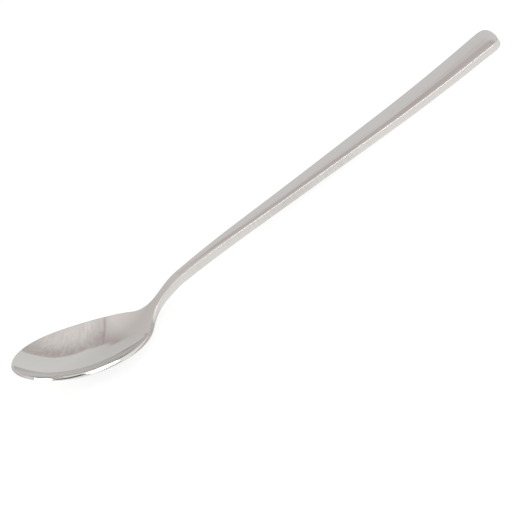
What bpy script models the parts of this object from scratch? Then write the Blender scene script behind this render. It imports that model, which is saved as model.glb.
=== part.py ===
"""A Korean table spoon: one piece of stainless steel, lying at rest on a table.

The spoon is modelled as its underside, an open surface laid along a line that runs from the tip
of the bowl over the neck to the end of the handle. Solidify gives the surface its thickness and
Bevel rounds its edges. X runs along the spoon, Y across it, and Z up from the table.
"""

import math

import bmesh
import bpy
import numpy as np

# Bowl: two half ellipses in plan, with a dished section
BOWL_WIDTH = 0.0414
BOWL_FRONT = 0.0251
BOWL_REAR = 0.0303
BOWL_DEPTH = 0.0065

# Neck: the shoulders of the oval draw in to it
SHOULDER_LENGTH = 0.0116
NECK_PAST_OVAL = 0.0084
NECK_WIDTH = 0.0044

# Handle: widens evenly from the neck to a rounded end, whose last stretch lies flat on the table
HANDLE_LENGTH = 0.1533
HANDLE_END_WIDTH = 0.0145
HANDLE_END_ROUND = 0.0050
HANDLE_END_POWER = 2.8
HANDLE_CROWN = 0.00030
HANDLE_CROWN_POWER = 3.0
HANDLE_CROWN_START = 0.0200
FOOT_LENGTH = 0.0164

# Slope of the line, in degrees: along the rim, up the neck and over its crest
TIP_SLOPE = -24.5
WIDEST_SLOPE = -22.0
RIM_END_SLOPE = -11.3
NECK_SLOPE = 8.8
CREST_SLOPE = 10.3
RIM_END_BEFORE_OVAL = 0.0079
NECK_BEND = 0.0079
CREST_PAST_NECK = 0.0044
CREST_BEND = 0.0050
HANDLE_EASE_IN = 0.0282
HANDLE_EASE_OUT = 0.0338

# Thickness of the steel, which is rolled thinner towards the tip of the bowl
TIP_THICKNESS = 0.00100
BOWL_THICKNESS = 0.00150
SHOULDER_THICKNESS = 0.00160
NECK_THICKNESS = 0.00270
CREST_THICKNESS = 0.00310
HANDLE_THICKNESS = 0.00270
HANDLE_THINNING = 0.0600
EDGE_ROUNDING = 0.0003

# Rows of faces along the spoon and columns across it
TIP_ROWS = 6
BOWL_ROWS = 10
NECK_ROWS = 14
HANDLE_ROWS = 24
FOOT_ROWS = 3
END_ROWS = 6
COLUMNS = 12
EDGE_SEGMENTS = 2
LINE_STEPS = 1000

# Places along the line, measured from the tip of the bowl
OVAL_END = BOWL_FRONT + BOWL_REAR
NECK = OVAL_END + NECK_PAST_OVAL
SHOULDER = NECK - SHOULDER_LENGTH
DISH_REAR = NECK - BOWL_FRONT
RIM_END = OVAL_END - RIM_END_BEFORE_OVAL
CREST = NECK + CREST_PAST_NECK
CREST_END = CREST + CREST_BEND
LENGTH = NECK + HANDLE_LENGTH
FOOT = LENGTH - FOOT_LENGTH
END_START = LENGTH - HANDLE_END_ROUND


def cubic(t, start, start_tangent, end, end_tangent):
    """A cubic from start to end, with the tangents given for the whole step."""
    rise = t * t * (3 - 2 * t)
    return (start + (end - start) * rise
            + start_tangent * t * (1 - t) ** 2 - end_tangent * t * t * (1 - t))


def smooth_curve(places, values, at):
    """A smooth curve through values at the given places, level past the last of them."""
    tangents = np.zeros(len(places))
    tangents[0] = (values[1] - values[0]) / (places[1] - places[0])
    tangents[1:-1] = (values[2:] - values[:-2]) / (places[2:] - places[:-2])
    at = np.clip(at, places[0], places[-1])
    step = np.clip(np.searchsorted(places, at, side="right") - 1, 0, len(places) - 2)
    width = np.diff(places)[step]
    return cubic((at - places[step]) / width, values[step], tangents[step] * width,
                 values[step + 1], tangents[step + 1] * width)


def depth_on_axis(place):
    """Depth of the dish below its rim, along the middle of the bowl."""
    front = 1 - (1 - place / BOWL_FRONT) ** 2
    rear = np.clip(1 - ((place - BOWL_FRONT) / DISH_REAR) ** 2, 0, 1)
    # This power carries the front's curvature on past the widest place
    rear = rear ** ((DISH_REAR / BOWL_FRONT) ** 2)
    return BOWL_DEPTH * np.where(place < BOWL_FRONT, front, rear)


def integrate(places, slopes):
    """X and Z of a line from its slopes."""
    middle = (slopes[1:] + slopes[:-1]) / 2
    step = np.diff(places)
    x = np.concatenate([[0.0], np.cumsum(step * np.cos(middle))])
    z = np.concatenate([[0.0], np.cumsum(step * np.sin(middle))])
    return x, z


def lay_line():
    """The line of the underside's edges: its places, X, Z and slopes, with the spoon on Z = 0."""
    places = np.linspace(0.0, LENGTH, LINE_STEPS + 1)
    bends = np.array([0.0, BOWL_FRONT, RIM_END, RIM_END + NECK_BEND, CREST, CREST_END])
    angles = np.radians([TIP_SLOPE, WIDEST_SLOPE, RIM_END_SLOPE, NECK_SLOPE, CREST_SLOPE, 0.0])
    slopes = smooth_curve(bends, angles, places)
    x, z = integrate(places, slopes)
    bowl = places < NECK
    table = np.min((z - depth_on_axis(places) * np.cos(slopes))[bowl])
    # The handle falls from the crest of the neck until its foot lies on the table
    fall = np.interp(FOOT, places, z) - table
    share = np.clip((places - CREST_END) / HANDLE_EASE_IN, 0, 1)
    share = share * np.clip((FOOT - places) / HANDLE_EASE_OUT, 0, 1)
    slopes = slopes - fall * share / (np.sum(share) * LENGTH / LINE_STEPS)
    x, z = integrate(places, slopes)
    return places, x - x[-1] / 2, z - z[-1], slopes


LINE = lay_line()


def half_width(place):
    """Half of the spoon's width in plan, without the rounding of the handle's end."""
    taper = (HANDLE_END_WIDTH - NECK_WIDTH) / 2 / HANDLE_LENGTH
    if place >= NECK:
        return NECK_WIDTH / 2 + taper * (place - NECK)
    reach = BOWL_FRONT if place < BOWL_FRONT else BOWL_REAR
    across = (min(place, SHOULDER) - BOWL_FRONT) / reach
    oval = BOWL_WIDTH / 2 * math.sqrt(max(1 - across ** 2, 0.0))
    if place <= SHOULDER:
        return oval
    lean = -(BOWL_WIDTH / 2) ** 2 * across / reach / oval
    return cubic((place - SHOULDER) / SHOULDER_LENGTH, oval, lean * SHOULDER_LENGTH,
                 NECK_WIDTH / 2, taper * SHOULDER_LENGTH)


def dish(place, y):
    """Depth of the underside below the line, inside the bowl."""
    if place < BOWL_FRONT:
        return BOWL_DEPTH * (1 - (1 - place / BOWL_FRONT) ** 2 - (2 * y / BOWL_WIDTH) ** 2)
    return float(depth_on_axis(np.array(place))) * (1 - (y / half_width(place)) ** 2)


def underside(place, y):
    """A point of the underside."""
    x, z, slope = (float(np.interp(place, LINE[0], values)) for values in LINE[1:])
    depth = dish(place, y)
    return x + depth * math.sin(slope), y, z - depth * math.cos(slope)


def smooth_step(place, start, length):
    t = min(max((place - start) / length, 0.0), 1.0)
    return t * t * (3 - 2 * t)


def thickness(place, y):
    """Thickness of the steel, with the crown of the handle's upper face."""
    places = np.array([0.0, BOWL_FRONT, SHOULDER, NECK, CREST_END, CREST_END + HANDLE_THINNING])
    values = np.array([TIP_THICKNESS, BOWL_THICKNESS, SHOULDER_THICKNESS, NECK_THICKNESS,
                       CREST_THICKNESS, HANDLE_THICKNESS])
    flat = float(smooth_curve(places, values, place))
    # The crown runs out to the edges of the handle and round its end
    past = max(place - END_START, 0.0) / HANDLE_END_ROUND
    aside = min(abs(y) / half_width(place), 1.0) if place > NECK else 1.0
    share = (past ** HANDLE_END_POWER + aside ** HANDLE_END_POWER) ** (1 / HANDLE_END_POWER)
    crown = HANDLE_CROWN * smooth_step(place, NECK, HANDLE_CROWN_START)
    return flat + crown * (1 - min(share, 1.0) ** HANDLE_CROWN_POWER)


def round_off(along, across, power):
    """Map a square's half onto the half of a rounded oval, ring by ring."""
    ring = max(abs(along), abs(across))
    if ring == 0:
        return 0.0, 0.0
    if abs(along) >= abs(across):
        turn = math.pi / 4 * abs(across / along)
    else:
        turn = math.pi / 4 * (2 - abs(along / across))
    x = ring * abs(math.cos(turn)) ** (2 / power)
    y = ring * abs(math.sin(turn)) ** (2 / power)
    return math.copysign(x, along), math.copysign(y, across)


BODY_STATIONS = np.concatenate([
    np.linspace(BOWL_FRONT, SHOULDER, BOWL_ROWS, endpoint=False),
    np.linspace(SHOULDER, CREST_END, NECK_ROWS, endpoint=False),
    np.linspace(CREST_END, FOOT, HANDLE_ROWS, endpoint=False),
    np.linspace(FOOT, END_START, FOOT_ROWS + 1),
])
ROWS = TIP_ROWS + len(BODY_STATIONS) - 1 + END_ROWS


def plan(row, across):
    """Place along the line, and Y, of a grid point; across runs from -1 to 1."""
    if row < TIP_ROWS:
        along, aside = round_off(row / TIP_ROWS - 1, across, 2)
        return BOWL_FRONT * (1 + along), BOWL_WIDTH / 2 * aside
    body_row = row - TIP_ROWS
    if body_row < len(BODY_STATIONS):
        place = float(BODY_STATIONS[body_row])
        return place, across * half_width(place)
    past = (body_row - len(BODY_STATIONS) + 1) / END_ROWS
    along, aside = round_off(past, across, HANDLE_END_POWER)
    place = END_START + HANDLE_END_ROUND * along
    return place, aside * half_width(place)


def make_steel():
    steel = bpy.data.materials.new("stainless_steel")
    steel.use_nodes = True
    shader = steel.node_tree.nodes["Principled BSDF"]
    shader.inputs["Base Color"].default_value = (0.60, 0.58, 0.56, 1.0)
    shader.inputs["Metallic"].default_value = 1.0
    shader.inputs["Roughness"].default_value = 0.15
    return steel


def make_spoon():
    """The spoon: a grid shaped into the underside, thickened upwards and rounded at its edges."""
    mesh = bpy.data.meshes.new("spoon")
    bm = bmesh.new()
    bmesh.ops.create_grid(bm, x_segments=ROWS, y_segments=COLUMNS, size=1.0)
    weights = bm.verts.layers.deform.verify()
    plans = [plan(round((vert.co.x + 1) / 2 * ROWS), vert.co.y) for vert in bm.verts]
    thicknesses = [thickness(place, y) for place, y in plans]
    thickest = max(thicknesses)
    for vert, (place, y), thick in zip(bm.verts, plans, thicknesses):
        vert.co = underside(place, y)
        vert[weights][0] = thick / thickest
    bm.to_mesh(mesh)
    bm.free()
    mesh.materials.append(make_steel())
    mesh.shade_smooth()

    spoon = bpy.data.objects.new("spoon", mesh)
    spoon.vertex_groups.new(name="thickness")
    solidify = spoon.modifiers.new("Thickness", "SOLIDIFY")
    solidify.thickness = thickest
    solidify.offset = 1.0
    solidify.vertex_group = "thickness"
    bevel = spoon.modifiers.new("Rounded edges", "BEVEL")
    bevel.width = EDGE_ROUNDING
    bevel.segments = EDGE_SEGMENTS
    bevel.limit_method = "ANGLE"
    bevel.angle_limit = math.radians(45)
    return spoon


for old in list(bpy.data.objects):
    bpy.data.objects.remove(old, do_unlink=True)

collection = bpy.data.collections.new("korean_spoon")
bpy.context.scene.collection.children.link(collection)
collection.objects.link(make_spoon())
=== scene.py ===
"""The looks of a Korean table spoon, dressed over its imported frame.

The spoon lies on a pale floor in a light tent: bowl at -X, handle end at +X, table at Z = 0, metres.
"""

import math

import bmesh
import bpy
import numpy as np
from mathutils import Matrix, Vector


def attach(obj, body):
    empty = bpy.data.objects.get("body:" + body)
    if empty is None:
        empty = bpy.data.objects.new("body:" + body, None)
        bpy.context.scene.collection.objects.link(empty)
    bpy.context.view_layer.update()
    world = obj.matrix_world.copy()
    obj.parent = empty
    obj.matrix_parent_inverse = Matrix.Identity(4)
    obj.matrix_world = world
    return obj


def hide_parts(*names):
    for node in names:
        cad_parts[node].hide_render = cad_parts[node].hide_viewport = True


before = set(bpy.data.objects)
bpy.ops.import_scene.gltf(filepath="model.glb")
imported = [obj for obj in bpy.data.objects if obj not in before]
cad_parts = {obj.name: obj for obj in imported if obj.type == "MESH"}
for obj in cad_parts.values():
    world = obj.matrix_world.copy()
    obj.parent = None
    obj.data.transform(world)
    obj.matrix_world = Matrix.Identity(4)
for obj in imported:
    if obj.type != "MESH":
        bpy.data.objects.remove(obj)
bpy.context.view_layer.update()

# Spoon
# One strip of stainless steel, blanked from plate. The bowl is rolled thinner and pressed into a
# shallow dish, the neck is bent up, the edges are belt-ground and the faces are buffed.

# Bowl: two half ellipses in plan
BOWL_WIDTH = 0.0414
BOWL_FRONT = 0.0251
BOWL_REAR = 0.0303
BOWL_DEPTH = 0.0065

# Neck: the shoulders of the oval draw in to it
SHOULDER_LENGTH = 0.0116
NECK_PAST_OVAL = 0.0084
NECK_WIDTH = 0.0044

# Handle: widens evenly from the neck to a rounded end, whose last stretch lies flat on the table
HANDLE_LENGTH = 0.1533
HANDLE_END_WIDTH = 0.0145
HANDLE_END_ROUND = 0.0050
HANDLE_END_POWER = 2.8
HANDLE_CROWN = 0.00030
HANDLE_CROWN_POWER = 3.0
HANDLE_CROWN_START = 0.0200
FOOT_LENGTH = 0.0164

# Slope of the line, in degrees: along the rim, up the neck and over its crest
TIP_SLOPE = -24.5
WIDEST_SLOPE = -22.0
RIM_END_SLOPE = -11.3
NECK_SLOPE = 8.8
CREST_SLOPE = 10.3
RIM_END_BEFORE_OVAL = 0.0079
NECK_BEND = 0.0079
CREST_PAST_NECK = 0.0044
CREST_BEND = 0.0050
HANDLE_EASE_IN = 0.0282
HANDLE_EASE_OUT = 0.0338

# Thickness of the steel
TIP_THICKNESS = 0.00100
BOWL_THICKNESS = 0.00150
SHOULDER_THICKNESS = 0.00160
NECK_THICKNESS = 0.00270
CREST_THICKNESS = 0.00310
HANDLE_THICKNESS = 0.00270
HANDLE_THINNING = 0.0600
EDGE_ROUNDING = 0.0003

# A fine grid, so that reflections run smoothly; its outermost ring is just wide enough for the
# rounded edge, and the ends have as many rows as there are columns to one side
COLUMNS = 48
END_ROWS = COLUMNS // 2
BOWL_ROWS = 40
NECK_ROWS = 56
HANDLE_ROWS = 110
FOOT_ROWS = 8
EDGE_BAND = 0.0005
EDGE_SEGMENTS = 4
EDGE_ANGLE = math.radians(45)
LINE_STEPS = 2000

# Places along the line, measured from the tip of the bowl
OVAL_END = BOWL_FRONT + BOWL_REAR
NECK = OVAL_END + NECK_PAST_OVAL
SHOULDER = NECK - SHOULDER_LENGTH
DISH_REAR = NECK - BOWL_FRONT
RIM_END = OVAL_END - RIM_END_BEFORE_OVAL
CREST = NECK + CREST_PAST_NECK
CREST_END = CREST + CREST_BEND
LENGTH = NECK + HANDLE_LENGTH
FOOT = LENGTH - FOOT_LENGTH
END_START = LENGTH - HANDLE_END_ROUND


def cubic(t, start, start_tangent, end, end_tangent):
    """A cubic from start to end, with the tangents given for the whole step."""
    rise = t * t * (3 - 2 * t)
    return (start + (end - start) * rise
            + start_tangent * t * (1 - t) ** 2 - end_tangent * t * t * (1 - t))


def smooth_curve(places, values, at):
    """A smooth curve through values at the given places, level past the last of them."""
    tangents = np.zeros(len(places))
    tangents[0] = (values[1] - values[0]) / (places[1] - places[0])
    tangents[1:-1] = (values[2:] - values[:-2]) / (places[2:] - places[:-2])
    at = np.clip(at, places[0], places[-1])
    step = np.clip(np.searchsorted(places, at, side="right") - 1, 0, len(places) - 2)
    width = np.diff(places)[step]
    return cubic((at - places[step]) / width, values[step], tangents[step] * width,
                 values[step + 1], tangents[step + 1] * width)


def depth_on_axis(place):
    """Depth of the dish below its rim, along the middle of the bowl."""
    front = 1 - (1 - place / BOWL_FRONT) ** 2
    rear = np.clip(1 - ((place - BOWL_FRONT) / DISH_REAR) ** 2, 0, 1)
    # This power carries the front's curvature on past the widest place
    rear = rear ** ((DISH_REAR / BOWL_FRONT) ** 2)
    return BOWL_DEPTH * np.where(place < BOWL_FRONT, front, rear)


def integrate(places, slopes):
    """X and Z of a line from its slopes."""
    middle = (slopes[1:] + slopes[:-1]) / 2
    step = np.diff(places)
    x = np.concatenate([[0.0], np.cumsum(step * np.cos(middle))])
    z = np.concatenate([[0.0], np.cumsum(step * np.sin(middle))])
    return x, z


def lay_line():
    """The line of the underside's edges: its places, X, Z and slopes, with the spoon on Z = 0."""
    places = np.linspace(0.0, LENGTH, LINE_STEPS + 1)
    bends = np.array([0.0, BOWL_FRONT, RIM_END, RIM_END + NECK_BEND, CREST, CREST_END])
    angles = np.radians([TIP_SLOPE, WIDEST_SLOPE, RIM_END_SLOPE, NECK_SLOPE, CREST_SLOPE, 0.0])
    slopes = smooth_curve(bends, angles, places)
    x, z = integrate(places, slopes)
    bowl = places < NECK
    table = np.min((z - depth_on_axis(places) * np.cos(slopes))[bowl])
    # The handle falls from the crest of the neck until its foot lies on the table
    fall = np.interp(FOOT, places, z) - table
    share = np.clip((places - CREST_END) / HANDLE_EASE_IN, 0, 1)
    share = share * np.clip((FOOT - places) / HANDLE_EASE_OUT, 0, 1)
    slopes = slopes - fall * share / (np.sum(share) * LENGTH / LINE_STEPS)
    x, z = integrate(places, slopes)
    return places, x - x[-1] / 2, z - z[-1], slopes


LINE = lay_line()


def half_width(place):
    """Half of the spoon's width in plan, without the rounding of the handle's end."""
    taper = (HANDLE_END_WIDTH - NECK_WIDTH) / 2 / HANDLE_LENGTH
    if place >= NECK:
        return NECK_WIDTH / 2 + taper * (place - NECK)
    reach = BOWL_FRONT if place < BOWL_FRONT else BOWL_REAR
    across = (min(place, SHOULDER) - BOWL_FRONT) / reach
    oval = BOWL_WIDTH / 2 * math.sqrt(max(1 - across ** 2, 0.0))
    if place <= SHOULDER:
        return oval
    lean = -(BOWL_WIDTH / 2) ** 2 * across / reach / oval
    return cubic((place - SHOULDER) / SHOULDER_LENGTH, oval, lean * SHOULDER_LENGTH,
                 NECK_WIDTH / 2, taper * SHOULDER_LENGTH)


def dish(place, y):
    """Depth of the underside below the line, inside the bowl."""
    if place < BOWL_FRONT:
        return BOWL_DEPTH * (1 - (1 - place / BOWL_FRONT) ** 2 - (2 * y / BOWL_WIDTH) ** 2)
    return float(depth_on_axis(np.array(place))) * (1 - (y / half_width(place)) ** 2)


def underside(place, y):
    """A point of the underside."""
    x, z, slope = (float(np.interp(place, LINE[0], values)) for values in LINE[1:])
    depth = dish(place, y)
    return x + depth * math.sin(slope), y, z - depth * math.cos(slope)


def smooth_step(place, start, length):
    """Rises smoothly from 0 at the start to 1 at the end of a length."""
    t = min(max((place - start) / length, 0.0), 1.0)
    return t * t * (3 - 2 * t)


def thickness(place, y):
    """Thickness of the steel, with the crown of the handle's upper face."""
    places = np.array([0.0, BOWL_FRONT, SHOULDER, NECK, CREST_END, CREST_END + HANDLE_THINNING])
    values = np.array([TIP_THICKNESS, BOWL_THICKNESS, SHOULDER_THICKNESS, NECK_THICKNESS,
                       CREST_THICKNESS, HANDLE_THICKNESS])
    flat = float(smooth_curve(places, values, place))
    # The crown runs out to the edges of the handle and round its end
    past = max(place - END_START, 0.0) / HANDLE_END_ROUND
    aside = min(abs(y) / half_width(place), 1.0) if place > NECK else 1.0
    share = (past ** HANDLE_END_POWER + aside ** HANDLE_END_POWER) ** (1 / HANDLE_END_POWER)
    crown = HANDLE_CROWN * smooth_step(place, NECK, HANDLE_CROWN_START)
    return flat + crown * (1 - min(share, 1.0) ** HANDLE_CROWN_POWER)


def spread(share, half):
    """Distance from the middle of a grid ring, as a share of half a width."""
    last_inner = 1 - 1 / END_ROWS
    if share > last_inner + 0.5 / END_ROWS:
        return 1.0
    return share / last_inner * (1 - EDGE_BAND / half)


def round_off(along, across, half, power):
    """Map a square's half onto the half of a rounded oval, ring by ring."""
    ring = max(abs(along), abs(across))
    if ring == 0:
        return 0.0, 0.0
    if abs(along) >= abs(across):
        turn = math.pi / 4 * abs(across / along)
    else:
        turn = math.pi / 4 * (2 - abs(along / across))
    radius = spread(ring, half)
    x = radius * abs(math.cos(turn)) ** (2 / power)
    y = radius * abs(math.sin(turn)) ** (2 / power)
    return math.copysign(x, along), math.copysign(y, across)


BODY_STATIONS = np.concatenate([
    np.linspace(BOWL_FRONT, SHOULDER, BOWL_ROWS, endpoint=False),
    np.linspace(SHOULDER, CREST_END, NECK_ROWS, endpoint=False),
    np.linspace(CREST_END, FOOT, HANDLE_ROWS, endpoint=False),
    np.linspace(FOOT, END_START, FOOT_ROWS + 1),
])
ROWS = END_ROWS + len(BODY_STATIONS) - 1 + END_ROWS


def plan(row, across):
    """Place along the line, and Y, of a grid point; across runs from -1 to 1."""
    if row < END_ROWS:
        along, aside = round_off(row / END_ROWS - 1, across, BOWL_WIDTH / 2, 2)
        return BOWL_FRONT * (1 + along), BOWL_WIDTH / 2 * aside
    body_row = row - END_ROWS
    if body_row < len(BODY_STATIONS):
        place = float(BODY_STATIONS[body_row])
        half = half_width(place)
        return place, math.copysign(half * spread(abs(across), half), across)
    past = (body_row - len(BODY_STATIONS) + 1) / END_ROWS
    along, aside = round_off(past, across, half_width(END_START), HANDLE_END_POWER)
    place = END_START + HANDLE_END_ROUND * along
    return place, aside * half_width(place)


def make_spoon():
    """A grid shaped into the underside, thickened upwards and rounded at its edges."""
    mesh = bpy.data.meshes.new("polished_spoon")
    bm = bmesh.new()
    bmesh.ops.create_grid(bm, x_segments=ROWS, y_segments=COLUMNS, size=1.0)
    weights = bm.verts.layers.deform.verify()
    plans = [plan(round((vert.co.x + 1) / 2 * ROWS), vert.co.y) for vert in bm.verts]
    thicknesses = [thickness(place, y) for place, y in plans]
    thickest = max(thicknesses)
    for vert, (place, y), thick in zip(bm.verts, plans, thicknesses):
        vert.co = underside(place, y)
        vert[weights][0] = thick / thickest
    bm.to_mesh(mesh)
    bm.free()
    mesh.shade_smooth()

    piece = bpy.data.objects.new("polished_spoon", mesh)
    bpy.context.scene.collection.objects.link(piece)
    piece.vertex_groups.new(name="thickness")
    solidify = piece.modifiers.new("Thickness", "SOLIDIFY")
    solidify.thickness = thickest
    solidify.offset = 1.0
    solidify.vertex_group = "thickness"
    solidify.material_offset_rim = 1
    bevel = piece.modifiers.new("Rounded edges", "BEVEL")
    bevel.width = EDGE_ROUNDING
    bevel.segments = EDGE_SEGMENTS
    bevel.limit_method = "ANGLE"
    bevel.angle_limit = EDGE_ANGLE
    bevel.material = 1
    return piece


def linear(hex_colour):
    """A hex sRGB colour as linear RGBA."""
    channels = [int(hex_colour[i:i + 2], 16) / 255 for i in (1, 3, 5)]
    return [c / 12.92 if c <= 0.04045 else ((c + 0.055) / 1.055) ** 2.4 for c in channels] + [1.0]


def add_node(tree, kind, inputs=None, **settings):
    """A node with its settings; an input is a value, or a socket to link from."""
    node = tree.nodes.new(kind)
    for name, value in settings.items():
        setattr(node, name, value)
    for name, value in (inputs or {}).items():
        if isinstance(value, bpy.types.NodeSocket):
            tree.links.new(value, node.inputs[name])
        else:
            node.inputs[name].default_value = value
    return node


# Buffing lines run along the handle and fade out over the neck, and scratches lie aslant. Both are
# drawn wider and deeper than they are on steel, so that they show in the picture. The levels of a
# pattern are where its marks begin and where they are full
BOWL_COLOUR = "#D2D1CF"
HANDLE_COLOUR = "#DCDBDA"
BOWL_TO_HANDLE = (-0.052, -0.034)
BUFF_LINE_WIDTH = 0.0011
BUFF_LINE_LENGTH = 0.0600
BUFF_LINE_DEPTH = 0.000050
SCRATCH_WIDTH = 0.00035
SCRATCH_LENGTH = 0.0120
SCRATCH_ANGLE = math.radians(24)
SCRATCH_LEVELS = (0.68, 0.74)
SCRATCH_ROUGHNESS = 0.08
WEAR_SPREAD = 0.0140
WEAR_LEVELS = (0.35, 0.65)
WORN_ROUGHNESS = (0.05, 0.09)


def buffed_steel():
    """Stainless steel buffed to a mirror, a shade warmer in the bowl, with worn patches."""
    steel = bpy.data.materials.new("buffed_stainless_steel")
    steel.use_nodes = True
    tree = steel.node_tree
    shader = tree.nodes["Principled BSDF"]
    shader.inputs["Metallic"].default_value = 1.0
    spot = add_node(tree, "ShaderNodeTexCoord").outputs["Object"]
    x = add_node(tree, "ShaderNodeSeparateXYZ", {"Vector": spot}).outputs["X"]
    on_handle = add_node(tree, "ShaderNodeMapRange", {"Value": x, "From Min": BOWL_TO_HANDLE[0],
                                                      "From Max": BOWL_TO_HANDLE[1]})
    colour = add_node(tree, "ShaderNodeMix", {"Factor": on_handle.outputs[0],
                                              6: linear(BOWL_COLOUR), 7: linear(HANDLE_COLOUR)},
                      data_type="RGBA")
    tree.links.new(colour.outputs[2], shader.inputs["Base Color"])
    wear = add_node(tree, "ShaderNodeTexNoise", {"Vector": spot, "Scale": 1 / WEAR_SPREAD})
    worn = add_node(tree, "ShaderNodeMapRange",
                    {"Value": wear.outputs["Fac"], "From Min": WEAR_LEVELS[0],
                     "From Max": WEAR_LEVELS[1], "To Min": WORN_ROUGHNESS[0],
                     "To Max": WORN_ROUGHNESS[1]})
    turned = add_node(tree, "ShaderNodeMapping",
                      {"Vector": spot, "Rotation": (0.0, 0.0, SCRATCH_ANGLE)})
    stretched = add_node(tree, "ShaderNodeMapping",
                         {"Vector": turned.outputs[0],
                          "Scale": (1 / SCRATCH_LENGTH, 1 / SCRATCH_WIDTH, 1 / SCRATCH_LENGTH)})
    scratches = add_node(tree, "ShaderNodeTexNoise", {"Vector": stretched.outputs[0], "Scale": 1.0})
    scratched = add_node(tree, "ShaderNodeMapRange",
                         {"Value": scratches.outputs["Fac"], "From Min": SCRATCH_LEVELS[0],
                          "From Max": SCRATCH_LEVELS[1]})
    roughness = add_node(tree, "ShaderNodeMath", {0: scratched.outputs[0], 1: SCRATCH_ROUGHNESS,
                                                  2: worn.outputs[0]}, operation="MULTIPLY_ADD")
    tree.links.new(roughness.outputs[0], shader.inputs["Roughness"])
    stretched = add_node(tree, "ShaderNodeMapping",
                         {"Vector": spot, "Scale": (1 / BUFF_LINE_LENGTH, 1 / BUFF_LINE_WIDTH,
                                                    1 / BUFF_LINE_LENGTH)})
    lines = add_node(tree, "ShaderNodeTexNoise", {"Vector": stretched.outputs[0], "Scale": 1.0,
                                                  "Detail": 3.0})
    relief = add_node(tree, "ShaderNodeBump", {"Height": lines.outputs["Fac"],
                                               "Strength": on_handle.outputs[0],
                                               "Distance": BUFF_LINE_DEPTH})
    tree.links.new(relief.outputs[0], shader.inputs["Normal"])
    return steel


# The belt's marks run across the edge, from the neck to the handle's end; round the bowl they have
# been buffed away. They too are drawn coarse enough to show
EDGE_COLOUR = "#D6D4D1"
STAIN_COLOUR = "#CAC8C4"
POLISHED_TO_GROUND = (-0.062, -0.050)
EDGE_ROUGHNESS = (0.05, 0.44)
BELT_MARK_WIDTH = 0.0003
BELT_MARK_LENGTH = 0.0080
BELT_MARK_DEPTH = 0.000003
STAIN_SPREAD = 0.0110
STAIN_MIDDLE = 0.0100
STAIN_REACH = 0.0450
STAIN_GAIN = 0.20
STAIN_LEVELS = (0.32, 0.47)


def ground_steel():
    """The same steel along the edge: ground on a belt, stained in patches, polished round the bowl."""
    steel = bpy.data.materials.new("ground_stainless_steel")
    steel.use_nodes = True
    tree = steel.node_tree
    shader = tree.nodes["Principled BSDF"]
    shader.inputs["Metallic"].default_value = 1.0
    spot = add_node(tree, "ShaderNodeTexCoord").outputs["Object"]
    x = add_node(tree, "ShaderNodeSeparateXYZ", {"Vector": spot}).outputs["X"]
    on_handle = add_node(tree, "ShaderNodeMapRange", {"Value": x, "From Min": POLISHED_TO_GROUND[0],
                                                      "From Max": POLISHED_TO_GROUND[1]})
    stretched = add_node(tree, "ShaderNodeMapping",
                         {"Vector": spot, "Scale": (1 / BELT_MARK_WIDTH, 1 / BELT_MARK_LENGTH,
                                                    1 / BELT_MARK_LENGTH)})
    marks = add_node(tree, "ShaderNodeTexNoise", {"Vector": stretched.outputs[0], "Scale": 1.0,
                                                  "Detail": 2.0})
    stains = add_node(tree, "ShaderNodeTexNoise", {"Vector": spot, "Scale": 1 / STAIN_SPREAD,
                                                   "Detail": 5.0, "Roughness": 0.7})
    mottle = add_node(tree, "ShaderNodeMath", {0: marks.outputs["Fac"], 1: stains.outputs["Fac"]},
                      operation="MULTIPLY")
    # The stains gather about the middle of the handle
    away = add_node(tree, "ShaderNodeMath", {0: x, 1: STAIN_MIDDLE}, operation="SUBTRACT")
    away = add_node(tree, "ShaderNodeMath", {0: away.outputs[0]}, operation="ABSOLUTE")
    patch = add_node(tree, "ShaderNodeMapRange", {"Value": away.outputs[0], "From Min": 0.0,
                                                  "From Max": STAIN_REACH, "To Min": STAIN_GAIN,
                                                  "To Max": 0.0})
    mottle = add_node(tree, "ShaderNodeMath", {0: mottle.outputs[0], 1: patch.outputs[0]},
                      operation="ADD")
    stained = add_node(tree, "ShaderNodeMapRange",
                       {"Value": mottle.outputs[0], "From Min": STAIN_LEVELS[0],
                        "From Max": STAIN_LEVELS[1]})
    stained = add_node(tree, "ShaderNodeMath", {0: stained.outputs[0], 1: on_handle.outputs[0]},
                       operation="MULTIPLY")
    colour = add_node(tree, "ShaderNodeMix", {"Factor": stained.outputs[0], 6: linear(EDGE_COLOUR),
                                              7: linear(STAIN_COLOUR)}, data_type="RGBA")
    tree.links.new(colour.outputs[2], shader.inputs["Base Color"])
    roughness = add_node(tree, "ShaderNodeMapRange",
                         {"Value": on_handle.outputs[0], "To Min": EDGE_ROUGHNESS[0],
                          "To Max": EDGE_ROUGHNESS[1]})
    tree.links.new(roughness.outputs[0], shader.inputs["Roughness"])
    relief = add_node(tree, "ShaderNodeBump", {"Height": marks.outputs["Fac"],
                                               "Strength": on_handle.outputs[0],
                                               "Distance": BELT_MARK_DEPTH})
    tree.links.new(relief.outputs[0], shader.inputs["Normal"])
    return steel


spoon = make_spoon()
spoon.data.materials.append(buffed_steel())
spoon.data.materials.append(ground_steel())
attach(spoon, "root")
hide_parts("spoon")

# Floor
# A light table: a matt sheet of opal acrylic, lit from below as well, which keeps the shadows pale.
# Like all such sheets it gives less light at a grazing angle.
FLOOR_RADIUS = 3.0
FLOOR_SIDES = 96
FLOOR_COLOUR = "#868686"
FLOOR_GLOW = (0.80, 0.34)
GRAZING = (0.60, 0.90)

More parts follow.
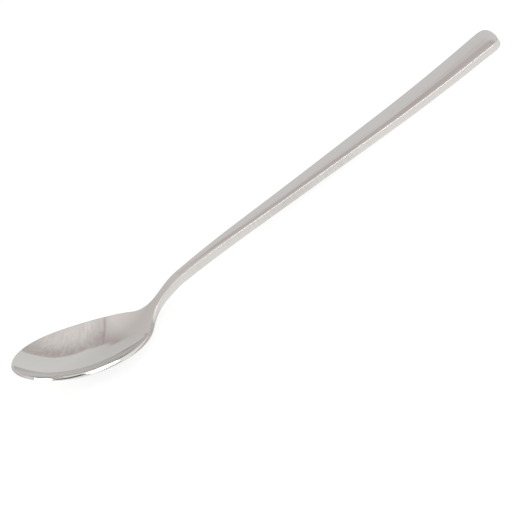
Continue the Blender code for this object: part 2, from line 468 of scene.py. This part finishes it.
floor_mesh = bpy.data.meshes.new("floor")
bm = bmesh.new()
bmesh.ops.create_circle(bm, cap_ends=True, segments=FLOOR_SIDES, radius=FLOOR_RADIUS)
bm.to_mesh(floor_mesh)
bm.free()
floor = bpy.data.objects.new("floor", floor_mesh)
bpy.context.scene.collection.objects.link(floor)
acrylic = bpy.data.materials.new("opal_acrylic")
acrylic.use_nodes = True
shader = acrylic.node_tree.nodes["Principled BSDF"]
shader.inputs["Base Color"].default_value = linear(FLOOR_COLOUR)
shader.inputs["Roughness"].default_value = 0.9
shader.inputs["Specular IOR Level"].default_value = 0.1
shader.inputs["Emission Color"].default_value = linear("#FFFFFF")
facing = add_node(acrylic.node_tree, "ShaderNodeLayerWeight", {"Blend": 0.5})
glow = add_node(acrylic.node_tree, "ShaderNodeMapRange",
                {"Value": facing.outputs["Facing"], "From Min": GRAZING[0], "From Max": GRAZING[1],
                 "To Min": FLOOR_GLOW[0], "To Max": FLOOR_GLOW[1]})
acrylic.node_tree.links.new(glow.outputs[0], shader.inputs["Emission Strength"])
floor_mesh.materials.append(acrylic)

# Light
# A light tent: grey cloth all round under a roof of two sheets, the one towards the handle's end
# crumpled. Two softboxes stand in front, either side of the dark gap that the camera looks in by.
CLOTH_COLOUR = "#FFFDFB"
SHEET_COLOUR = "#FFFAF7"
HEM_COLOUR = "#FFF2F0"
CLOTH_LIGHT = (0.72, 0.87)
FRONT_LIGHT = 1.10
SMOOTH_SHEET_LIGHT = (1.00, 0.745)
CRUMPLED_SHEET_LIGHT = (0.985, 0.646)
CRUMPLE_CONTRAST = 0.24
OVERHEAD_SHADE = 0.58
HEM_SHADE = 0.75
SEAM_SHADE = 0.78
GAP_LIGHT = 0.20
UNDER_GAP_LIGHT = 0.72
PINK_LIGHT = (0.76, 0.60)
# Places on the roof, in roof heights along the spoon or to its far side. A pair of them is where a
# change begins and ends
SMOOTH_FADE = (0.10, 1.30)
OVERHEAD_FADE = (-0.20, 0.35)
HEM = (0.22, 0.32)
HEM_FADE = (0.10, 0.30)
HEM_STEPS = ((1.45, 1.75, 0.165), (1.66, 3.20, 0.220))
SEAM = (0.07, 0.08)
SEAM_FADE = (0.08, 0.12)
FAR_HEM = (0.62, 0.67)
FAR_HEM_STRAIGHT = 1.35
CORNER = (0.33, 0.57)
CORNER_HANG = 0.304
SPOT = (0.056, 0.043, 0.0)
SPOT_RADIUS = 0.613
FAN_ALONG = 0.3
FAN_FAR = -0.5
FRONT = (-0.6, -1.0)
# How far these run aslant, how the spot is stretched and how closely the folds lie
HEM_SLANT = -0.05
SEAM_SLANT = -0.30
FAR_HEM_SLANT = -0.28
SPOT_SLANT = -0.11
SPOT_SHAPE = (0.28, 1.0, 1.0)
FOLDS = (20.0, 1.5, 4.0)
FOLD_LEVELS = (0.3, 0.7)
# The rest of the tent by direction: sideways is X over Y, and height is Z
LEAST_HEIGHT = 0.02
CLOTH_FADE = (0.05, 0.75)
GAP_MIDDLE = (0.26, 0.63)
GAP_HALF_SIZE = (0.54, 0.09)
GAP_SLANT = -0.10
UNDER_GAP_HALF_WIDTH = 0.95
UNDER_GAP_TOP = 0.36
# Centre, the point it faces, width, height and light of each
SOFTBOXES = {
    "right_softbox": ((0.1265, -0.300, 0.182), (0.1265, 0.0, 0.0), 0.247, 0.11, 5.5),
    "left_softbox": ((-0.68, -0.26, 0.72), (0.0, 0.0, 0.0), 0.56, 0.28, 6.0),
}

world = bpy.data.worlds.new("light_tent")
world.use_nodes = True
bpy.context.scene.world = world
tent = world.node_tree
# A direction's place on the roof, in roof heights: along the spoon, and to its far side
ray = add_node(tent, "ShaderNodeSeparateXYZ",
               {"Vector": add_node(tent, "ShaderNodeTexCoord").outputs["Generated"]})
height = add_node(tent, "ShaderNodeMath", {0: ray.outputs["Z"], 1: LEAST_HEIGHT},
                  operation="MAXIMUM")
along = add_node(tent, "ShaderNodeMath", {0: ray.outputs["X"], 1: height.outputs[0]},
                 operation="DIVIDE").outputs[0]
far = add_node(tent, "ShaderNodeMath", {0: ray.outputs["Y"], 1: height.outputs[0]},
               operation="DIVIDE").outputs[0]
# The smooth sheet is brightest a little beyond the spoon. It dims to the far side, overhead and
# towards its hem, which runs in from the crumpled sheet's far corner in two steps
smooth_light = add_node(tent, "ShaderNodeMapRange",
                        {"Value": far, "From Min": SMOOTH_FADE[0], "From Max": SMOOTH_FADE[1],
                         "To Min": SMOOTH_SHEET_LIGHT[0], "To Max": SMOOTH_SHEET_LIGHT[1]},
                        interpolation_type="SMOOTHSTEP")
past_hem = add_node(tent, "ShaderNodeMath", {0: far, 1: HEM_SLANT, 2: along},
                    operation="MULTIPLY_ADD")
for start, end, step in HEM_STEPS:
    step_in = add_node(tent, "ShaderNodeMapRange", {"Value": far, "From Min": start, "From Max": end,
                                                    "To Min": 0.0, "To Max": step})
    past_hem = add_node(tent, "ShaderNodeMath", {0: past_hem.outputs[0], 1: step_in.outputs[0]},
                        operation="ADD")
hem_shade = add_node(tent, "ShaderNodeMapRange",
                     {"Value": along, "From Min": HEM_FADE[0], "From Max": HEM_FADE[1],
                      "To Min": 1.0, "To Max": HEM_SHADE})
overhead = add_node(tent, "ShaderNodeMapRange",
                    {"Value": far, "From Min": OVERHEAD_FADE[0], "From Max": OVERHEAD_FADE[1],
                     "To Min": OVERHEAD_SHADE, "To Max": 1.0})
smooth_sheet = smooth_light
for shade in (hem_shade, overhead):
    smooth_sheet = add_node(tent, "ShaderNodeMath", {0: smooth_sheet.outputs[0], 1: shade.outputs[0]},
                            operation="MULTIPLY")
# The crumpled sheet glows in one spot, and darkens at its seam with the smooth one
behind = add_node(tent, "ShaderNodeMath", {0: far, 1: 0.0}, operation="MAXIMUM")
aslant = add_node(tent, "ShaderNodeMath", {0: along, 1: SPOT_SLANT, 2: behind.outputs[0]},
                  operation="MULTIPLY_ADD")
place = add_node(tent, "ShaderNodeCombineXYZ", {"X": along, "Y": aslant.outputs[0]})
place = add_node(tent, "ShaderNodeVectorMath", {0: place.outputs[0], 1: SPOT_SHAPE},
                 operation="MULTIPLY")
spot = add_node(tent, "ShaderNodeVectorMath", {0: place.outputs[0], 1: SPOT},
                operation="DISTANCE")
glow = add_node(tent, "ShaderNodeMapRange",
                {"Value": spot.outputs["Value"], "From Min": 0.0, "From Max": SPOT_RADIUS,
                 "To Min": CRUMPLED_SHEET_LIGHT[0], "To Max": CRUMPLED_SHEET_LIGHT[1]},
                interpolation_type="SMOOTHSTEP")
# Its folds fan out from the seam
reach = add_node(tent, "ShaderNodeMath", {0: far, 1: FAN_FAR}, operation="SUBTRACT")
turned = add_node(tent, "ShaderNodeMath", {0: along, 1: FAN_ALONG}, operation="SUBTRACT")
fan = add_node(tent, "ShaderNodeMath", {0: turned.outputs[0], 1: reach.outputs[0]},
               operation="DIVIDE")
fold_place = add_node(tent, "ShaderNodeCombineXYZ", {"X": fan.outputs[0], "Y": along,
                                                     "Z": behind.outputs[0]})
fold_place = add_node(tent, "ShaderNodeVectorMath", {0: fold_place.outputs[0], 1: FOLDS},
                      operation="MULTIPLY")
folds = add_node(tent, "ShaderNodeTexNoise", {"Vector": fold_place.outputs[0], "Scale": 1.0,
                                              "Detail": 5.0, "Distortion": 0.8})
fold_shade = add_node(tent, "ShaderNodeMapRange",
                      {"Value": folds.outputs["Fac"], "From Min": FOLD_LEVELS[0],
                       "From Max": FOLD_LEVELS[1], "To Min": 1 - CRUMPLE_CONTRAST / 2,
                       "To Max": 1 + CRUMPLE_CONTRAST / 2})
# Its far hem hangs out at the seam's corner, and is straight at the other end
leaning = add_node(tent, "ShaderNodeMath", {0: along, 1: FAR_HEM_STRAIGHT}, operation="MINIMUM")
past_far_hem = add_node(tent, "ShaderNodeMath", {0: leaning.outputs[0], 1: FAR_HEM_SLANT, 2: far},
                        operation="MULTIPLY_ADD")
corner = add_node(tent, "ShaderNodeMapRange",
                  {"Value": along, "From Min": CORNER[0], "From Max": CORNER[1],
                   "To Min": CORNER_HANG, "To Max": 0.0})
past_far_hem = add_node(tent, "ShaderNodeMath", {0: past_far_hem.outputs[0], 1: corner.outputs[0]},
                        operation="SUBTRACT")
past_seam = add_node(tent, "ShaderNodeMath", {0: far, 1: SEAM_SLANT, 2: along},
                     operation="MULTIPLY_ADD")
seam_shade = add_node(tent, "ShaderNodeMapRange",
                      {"Value": past_seam.outputs[0], "From Min": SEAM_FADE[0],
                       "From Max": SEAM_FADE[1], "To Min": SEAM_SHADE, "To Max": 1.0})
crumpled_sheet = glow
for shade in (fold_shade, seam_shade):
    crumpled_sheet = add_node(tent, "ShaderNodeMath", {0: crumpled_sheet.outputs[0],
                                                       1: shade.outputs[0]}, operation="MULTIPLY")
# The cloth shows beside the smooth sheet and beyond the crumpled one
on_crumpled = add_node(tent, "ShaderNodeMapRange",
                       {"Value": past_seam.outputs[0], "From Min": SEAM[0], "From Max": SEAM[1]})
beside = add_node(tent, "ShaderNodeMapRange",
                  {"Value": past_hem.outputs[0], "From Min": HEM[0], "From Max": HEM[1]})
beyond = add_node(tent, "ShaderNodeMapRange",
                  {"Value": past_far_hem.outputs[0], "From Min": FAR_HEM[0],
                   "From Max": FAR_HEM[1]})
on_cloth = add_node(tent, "ShaderNodeMath", {0: beside.outputs[0], 1: beyond.outputs[0]},
                    operation="MULTIPLY")
before = add_node(tent, "ShaderNodeMath", {0: 1.0, 1: beyond.outputs[0]}, operation="SUBTRACT")
on_crumpled = add_node(tent, "ShaderNodeMath", {0: on_crumpled.outputs[0], 1: before.outputs[0]},
                       operation="MULTIPLY")
sheets = add_node(tent, "ShaderNodeMix", {"Factor": on_crumpled.outputs[0],
                                          "A": smooth_sheet.outputs[0],
                                          "B": crumpled_sheet.outputs[0]})
sideways = add_node(tent, "ShaderNodeMath", {0: ray.outputs["X"], 1: ray.outputs["Y"]},
                    operation="DIVIDE")
cloth = add_node(tent, "ShaderNodeMapRange",
                 {"Value": sideways.outputs[0], "From Min": CLOTH_FADE[0],
                  "From Max": CLOTH_FADE[1], "To Min": CLOTH_LIGHT[0], "To Max": CLOTH_LIGHT[1]})
roof = add_node(tent, "ShaderNodeMix", {"Factor": on_cloth.outputs[0], "A": sheets.outputs[0],
                                        "B": cloth.outputs[0]})
# The front is bright, but for the gap and the dimmer cloth under it
in_front = add_node(tent, "ShaderNodeMapRange", {"Value": far, "From Min": FRONT[0],
                                                 "From Max": FRONT[1]})
tent_light = add_node(tent, "ShaderNodeMix", {"Factor": in_front.outputs[0], "A": roof.outputs[0],
                                              "B": FRONT_LIGHT})
in_width = add_node(tent, "ShaderNodeMath", {0: sideways.outputs[0], 1: GAP_MIDDLE[0],
                                             2: GAP_HALF_SIZE[0]}, operation="COMPARE")
level = add_node(tent, "ShaderNodeMath", {0: sideways.outputs[0], 1: GAP_SLANT,
                                          2: ray.outputs["Z"]}, operation="MULTIPLY_ADD")
in_height = add_node(tent, "ShaderNodeMath", {0: level.outputs[0], 1: GAP_MIDDLE[1],
                                              2: GAP_HALF_SIZE[1]}, operation="COMPARE")
gap = in_front
for part in (in_width, in_height):
    gap = add_node(tent, "ShaderNodeMath", {0: gap.outputs[0], 1: part.outputs[0]},
                   operation="MULTIPLY")
light = add_node(tent, "ShaderNodeMix", {"Factor": gap.outputs[0], "A": tent_light.outputs[0],
                                         "B": GAP_LIGHT})
in_middle = add_node(tent, "ShaderNodeMath", {0: sideways.outputs[0], 1: 0.0,
                                              2: UNDER_GAP_HALF_WIDTH}, operation="COMPARE")
is_low = add_node(tent, "ShaderNodeMath", {0: ray.outputs["Z"], 1: UNDER_GAP_TOP},
                  operation="LESS_THAN")
under_gap = in_front
for part in (in_middle, is_low):
    under_gap = add_node(tent, "ShaderNodeMath", {0: under_gap.outputs[0], 1: part.outputs[0]},
                         operation="MULTIPLY")
light = add_node(tent, "ShaderNodeMix", {"Factor": under_gap.outputs[0], "A": light.outputs[0],
                                         "B": UNDER_GAP_LIGHT})
# A sheet turns pink where it is dim
dim = add_node(tent, "ShaderNodeMapRange", {"Value": sheets.outputs[0], "From Min": PINK_LIGHT[0],
                                            "From Max": PINK_LIGHT[1]})
sheet_colour = add_node(tent, "ShaderNodeMix", {"Factor": dim.outputs[0], 6: linear(SHEET_COLOUR),
                                                7: linear(HEM_COLOUR)}, data_type="RGBA")
plain = add_node(tent, "ShaderNodeMath", {0: on_cloth.outputs[0], 1: in_front.outputs[0]},
                 operation="MAXIMUM")
colour = add_node(tent, "ShaderNodeMix", {"Factor": plain.outputs[0], 6: sheet_colour.outputs[2],
                                          7: linear(CLOTH_COLOUR)}, data_type="RGBA")
tent.links.new(colour.outputs[2], tent.nodes["Background"].inputs["Color"])
tent.links.new(light.outputs[0], tent.nodes["Background"].inputs["Strength"])

for name, (centre, faced, width, tall, brightness) in SOFTBOXES.items():
    softbox = bpy.data.lights.new(name, "AREA")
    softbox.shape = "RECTANGLE"
    softbox.size = width
    softbox.size_y = tall
    softbox.energy = brightness * math.pi * width * tall
    lamp = bpy.data.objects.new(name, softbox)
    turn = (Vector(centre) - Vector(faced)).to_track_quat("Z", "Y").to_matrix().to_4x4()
    lamp.matrix_world = Matrix.Translation(centre) @ turn
    lamp.visible_camera = False
    bpy.context.scene.collection.objects.link(lamp)

# Camera
# The photograph's view: a long lens, raised over the near side of the spoon and rolled. Its values
# were fitted to the spoon's outline.
PICTURE_SIDE = 512
SENSOR_WIDTH = 36.0
CLIP_END = 100.0
ORIGIN_PIXEL = (270.13, 224.09)
PIXELS_PER_METRE = 2773.2
CAMERA_DISTANCE = 4.348
CAMERA_TURN = math.radians(7.54)
CAMERA_RISE = math.radians(29.76)
CAMERA_ROLL = math.radians(35.68)

right = Vector((math.cos(CAMERA_TURN), -math.sin(CAMERA_TURN), 0.0))
back = Vector((-math.sin(CAMERA_TURN) * math.cos(CAMERA_RISE),
               -math.cos(CAMERA_TURN) * math.cos(CAMERA_RISE), math.sin(CAMERA_RISE)))
axes = Matrix((right, back.cross(right), back)).transposed() @ Matrix.Rotation(-CAMERA_ROLL, 3, "Z")
aim = axes @ Vector((PICTURE_SIDE / 2 - ORIGIN_PIXEL[0], ORIGIN_PIXEL[1] - PICTURE_SIDE / 2, 0.0))
aim = aim / PIXELS_PER_METRE

lens = bpy.data.cameras.new("camera")
lens.sensor_width = SENSOR_WIDTH
lens.lens = PIXELS_PER_METRE * CAMERA_DISTANCE * SENSOR_WIDTH / PICTURE_SIDE
lens.clip_end = CLIP_END
camera = bpy.data.objects.new("camera", lens)
camera.matrix_world = Matrix.Translation(aim + back * CAMERA_DISTANCE) @ axes.to_4x4()
bpy.context.scene.collection.objects.link(camera)
bpy.context.scene.camera = camera
bpy.context.scene.view_settings.view_transform = "Standard"
